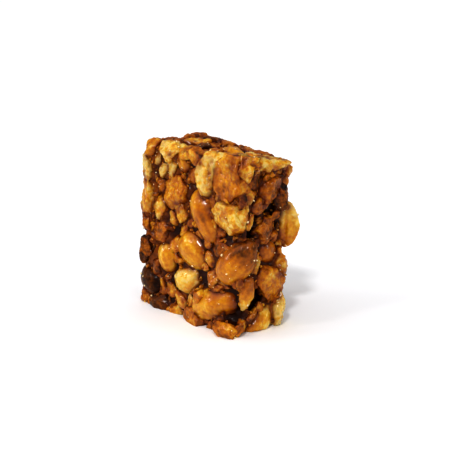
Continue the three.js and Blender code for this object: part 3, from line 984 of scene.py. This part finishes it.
def caramelMaterial(look):
    material = newMaterial("hard_caramel")
    coords = addNode(material, "TexCoord", {}).outputs["Object"]
    # depth below the block's faces darkens it: thick caramel and painted shade
    depth = addNode(material, "Attribute", {}, attribute_name="deep").outputs["Fac"]
    mottle = addNode(material, "TexNoise", {
        "Vector": coords, "Scale": 1 / (look["mottle"] * mm),
        "Detail": look["mottleDetail"]}).outputs["Fac"]
    shift = addNode(material, "MapRange", {
        "Value": mottle, "From Min": noiseLow, "From Max": noiseHigh,
        "To Min": -look["mottleDepth"] / 2, "To Max": look["mottleDepth"] / 2})
    mottledDepth = addNode(material, "Math", {0: depth, 1: shift.outputs["Result"]},
                           operation="ADD", use_clamp=True)
    colour = addNode(material, "ValToRGB", {"Fac": mottledDepth.outputs[0]})
    setRamp(colour, look["tones"])
    rough = addNode(material, "MapRange", {
        "Value": mottle, "From Min": look["glossEdge"][0], "From Max": look["glossEdge"][1],
        "To Min": look["roughness"][0], "To Max": look["roughness"][1]})
    bubbles = addNode(material, "TexNoise", {
        "Vector": coords, "Scale": 1 / (look["bubble"] * mm), "Detail": look["bubbleDetail"]})
    bump = addNode(material, "Bump", {
        "Height": bubbles.outputs["Fac"], "Strength": look["bubbleStrength"],
        "Distance": look["bubbleHeight"] * mm})
    shader = addNode(material, "BsdfPrincipled", {
        "Base Color": colour.outputs["Color"],
        "Roughness": rough.outputs["Result"],
        "IOR": look["ior"],
        "Specular IOR Level": look["specular"],
        "Normal": bump.outputs["Normal"],
        "Coat Weight": look["coat"],
        "Coat Roughness": look["coatRoughness"],
    })
    addNode(material, "OutputMaterial", {"Surface": shader.outputs["BSDF"]})
    return material


# Painted glints: tiny cream beads that stand for highlights on the glaze
paintedGlint = {"colour": "f0dcb0", "roughness": 0.2}


def plainMaterial(name, look):
    material = newMaterial(name)
    shader = addNode(material, "BsdfPrincipled", {"Base Color": linear(look["colour"]),
                                                  "Roughness": look["roughness"]})
    addNode(material, "OutputMaterial", {"Surface": shader.outputs["BSDF"]})
    return material


def linkPiece(name, mesh, material):
    piece = bpy.data.objects.new(name, mesh)
    bpy.context.scene.collection.objects.link(piece)
    mesh.materials.append(material)
    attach(piece, "root")
    return piece


caramel = linkPiece("caramel", caramelSkin, caramelMaterial(darkCaramel))
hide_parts("nut_cluster")
roasted = peanutMaterial("roasted_peanut", roastedSkin)
broken = peanutMaterial("broken_peanut", brokenFlesh)
for name, mesh in nutMeshes.items():
    linkPiece(name, mesh, roasted if name in ("whole_kernels", "split_halves") else broken)
linkPiece("nut_crumbs", crumbSkin, broken)
linkPiece("glint_beads", glintBeadSkin, plainMaterial("painted_glint", paintedGlint))
print("covered the pieces")

# Stage: a pale matt floor that takes a soft shadow, soft light from the front and above, small
# lamps that give the glaze its glints, and the camera at the photograph's angle
paleFloor = {"size": 20.0, "colour": "fafafc", "roughness": 0.6}  # metres
softLamps = [
    {"name": "key", "power": 1.36, "azimuth": 34, "height": 44, "angle": 7},
    {"name": "fill", "power": 0.4, "azimuth": -35, "height": 40, "angle": 40},
    {"name": "overhead", "power": 0.8, "azimuth": 0, "height": 85, "angle": 50},
]
sparkle = {"name": "sparkle", "power": 0.32, "angle": 6}
sparklesFrom = ((-45, 15), (-10, 40), (75, 22), (125, 20))  # azimuth and height
allRound = {"strength": 0.42, "colour": (1, 1, 1, 1)}
photoCamera = {"azimuth": 48, "elevation": 15, "target": (5.4, -0.8, 25.5), "distance": 240,
               "lens": 74, "nearest": 10, "gamma": 0.7}


# Unit vector towards a place round the object: azimuth 0 is in front, 90 to the right
def towards(azimuth, elevation):
    a, e = math.radians(azimuth), math.radians(elevation)
    return Vector((math.sin(a) * math.cos(e), -math.cos(a) * math.cos(e), math.sin(e)))


def addFloor():
    bm = bmesh.new()
    bmesh.ops.create_grid(bm, x_segments=1, y_segments=1, size=paleFloor["size"] / 2)
    mesh = bpy.data.meshes.new("floor")
    bm.to_mesh(mesh)
    bm.free()
    floor = bpy.data.objects.new("floor", mesh)
    bpy.context.scene.collection.objects.link(floor)
    mesh.materials.append(plainMaterial("studio_floor", paleFloor))


def addLight(name, power, azimuth, height, angle):
    light = bpy.data.lights.new(name, "SUN")
    light.energy = power
    light.angle = math.radians(angle)
    lamp = bpy.data.objects.new(name, light)
    direction = towards(azimuth, height)
    lamp.location = direction
    lamp.rotation_euler = direction.to_track_quat("Z", "Y").to_euler()
    bpy.context.scene.collection.objects.link(lamp)


def addWorld():
    world = bpy.data.worlds.new("studio")
    world.use_nodes = True
    background = world.node_tree.nodes["Background"]
    background.inputs["Color"].default_value = allRound["colour"]
    background.inputs["Strength"].default_value = allRound["strength"]
    bpy.context.scene.world = world


def addCamera():
    camera = bpy.data.objects.new("camera", bpy.data.cameras.new("camera"))
    camera.data.lens = photoCamera["lens"]
    camera.data.clip_start = photoCamera["nearest"] * mm
    back = towards(photoCamera["azimuth"], photoCamera["elevation"])
    camera.location = (Vector(photoCamera["target"]) + back * photoCamera["distance"]) * mm
    camera.rotation_euler = back.to_track_quat("Z", "Y").to_euler()
    bpy.context.scene.collection.objects.link(camera)
    bpy.context.scene.camera = camera
    bpy.context.scene.view_settings.view_transform = "Standard"
    bpy.context.scene.view_settings.gamma = photoCamera["gamma"]


addFloor()
addWorld()
for lamp in softLamps:
    addLight(**lamp)
for azimuth, height in sparklesFrom:
    addLight(azimuth=azimuth, height=height, **sparkle)
addCamera()
print("set the stage")
